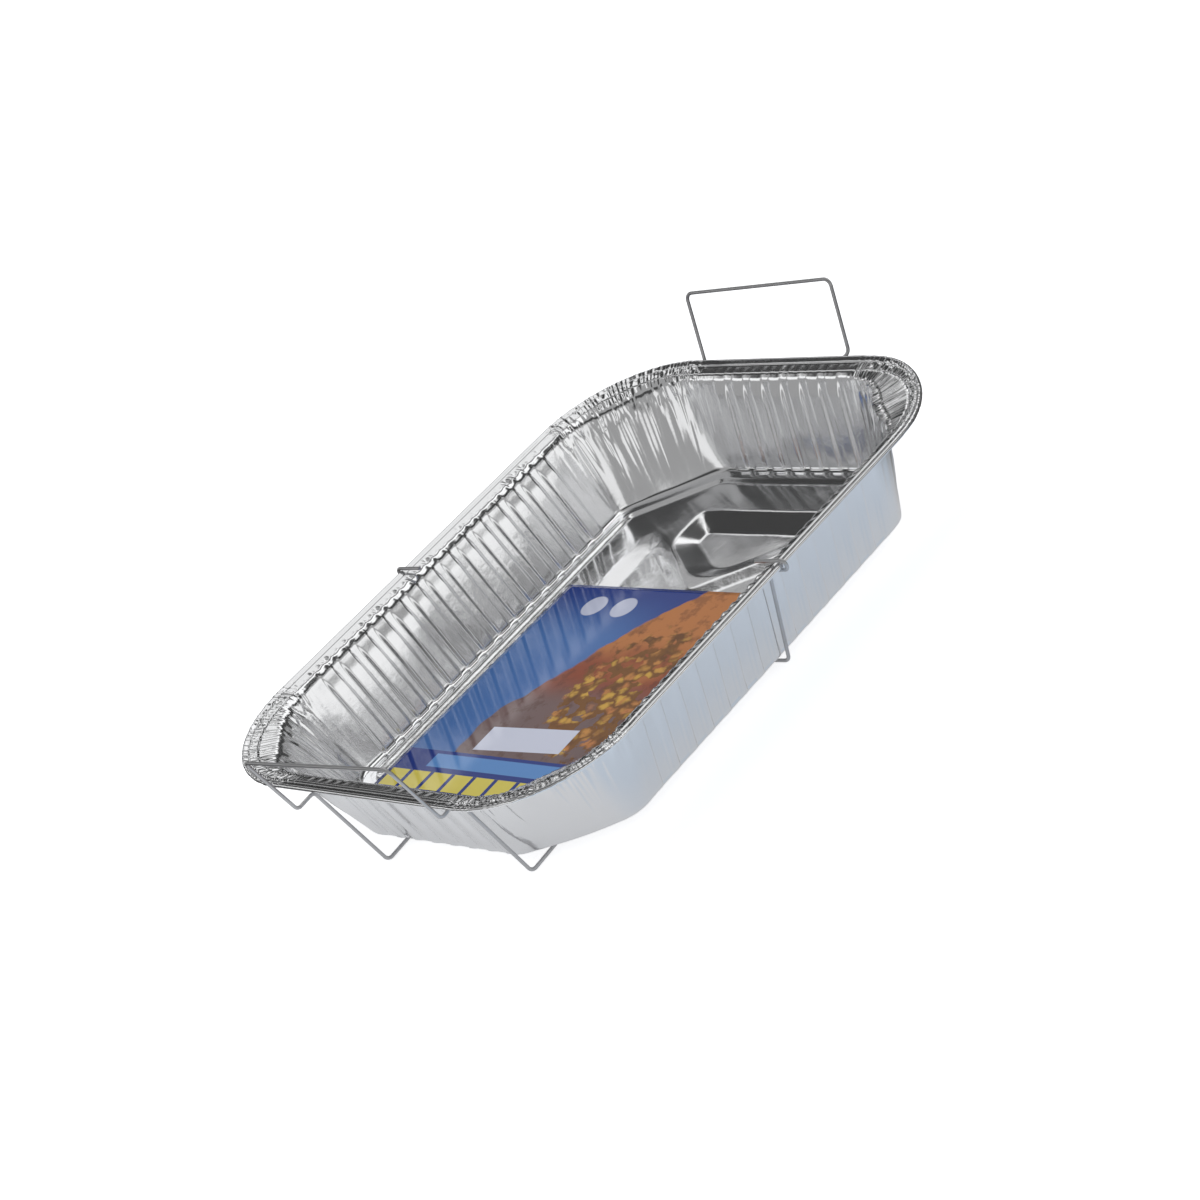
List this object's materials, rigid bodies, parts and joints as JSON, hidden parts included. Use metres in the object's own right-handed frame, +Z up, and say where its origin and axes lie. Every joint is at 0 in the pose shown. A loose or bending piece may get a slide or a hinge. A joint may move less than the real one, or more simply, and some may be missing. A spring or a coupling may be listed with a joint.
{
  "type": "foil roasting pan",
  "caption": "Disposable foil roasting pan with fluted walls, gathered corners and a rolled rim, in a bent-wire cradle with end handles and hooks over the rim, with a printed card on its floor",
  "frame": {"origin": "under the middle of the pan, on the surface that the long wires stand on", "axes": "+X along the pan from the near handle to the far handle, +Y across the pan, +Z up"},
  "size_m": [0.4882, 0.3363, 0.1202],
  "materials": {
    "foil": "bright rolled foil, pressed and creased",
    "wire": "plain drawn steel wire, grey, slightly dull",
    "card": "printed card with a light gloss, in fields of blue, gold, brown and orange"
  },
  "bodies": {
    "root": {"foil_pan": "foil", "cradle_wire": "wire", "cross_wire": "wire", "label_card": "card"}
  },
  "joints": []
}
